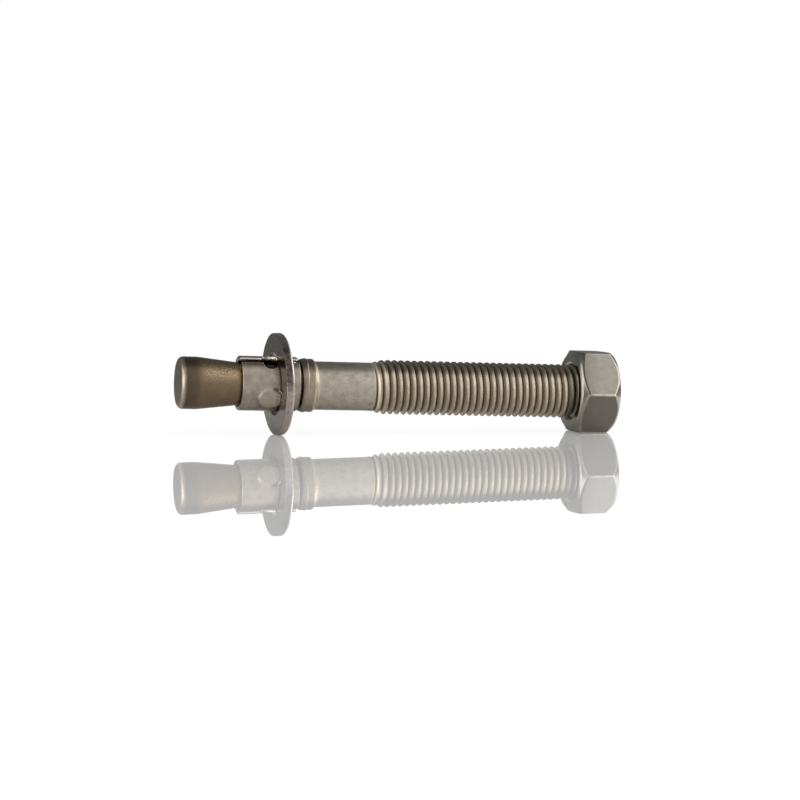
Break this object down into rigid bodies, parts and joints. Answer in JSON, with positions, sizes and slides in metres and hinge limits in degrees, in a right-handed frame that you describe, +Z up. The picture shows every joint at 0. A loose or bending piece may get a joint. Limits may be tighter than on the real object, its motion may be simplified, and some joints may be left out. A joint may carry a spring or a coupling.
{
  "type": "wedge anchor",
  "caption": "Through-bolt expansion anchor lying on its side: stud with tapered end, rolled split clip on its neck, collar, shank and screw thread, loose washer and hex nut.",
  "frame": {"origin": "on the surface that the anchor lies on, under the centre of its box", "axes": "+X towards the nut and the driving end, tipped down by about 1.5 degrees; +Z up; the clip's seam stands 26 degrees from the top towards -Y"},
  "size_m": [0.1634, 0.0364, 0.0366],
  "materials": {
    "stud_steel": "cold-forged and rolled stainless steel, satin, warm brown on the cone",
    "clip_steel": "smooth rolled stainless strip",
    "washer_steel": "tumbled stainless steel with nicks on the rim",
    "nut_steel": "grey satin forged stainless steel"
  },
  "bodies": {
    "stud": {"stud": "stud_steel"},
    "clip": {"expansion_clip": "clip_steel"},
    "washer": {"washer": "washer_steel"},
    "nut": {"hex_nut": "nut_steel"}
  },
  "joints": [
    {"name": "clip_turn", "type": "hinge", "parent": "stud", "child": "clip", "pos_m": [-0.04926, 0, 0.0184], "axis": [0.9996, 0, -0.0265], "continuous": true},
    {"name": "washer_slide", "type": "slide", "parent": "stud", "child": "washer", "axis": [0.9996, 0, -0.0265], "range_m": [-0.04026, 0.1078]},
    {"name": "nut_travel", "type": "slide", "parent": "stud", "child": "nut", "axis": [0.9996, 0, -0.0265], "range_m": [-0.07, 0.0175]}
  ]
}
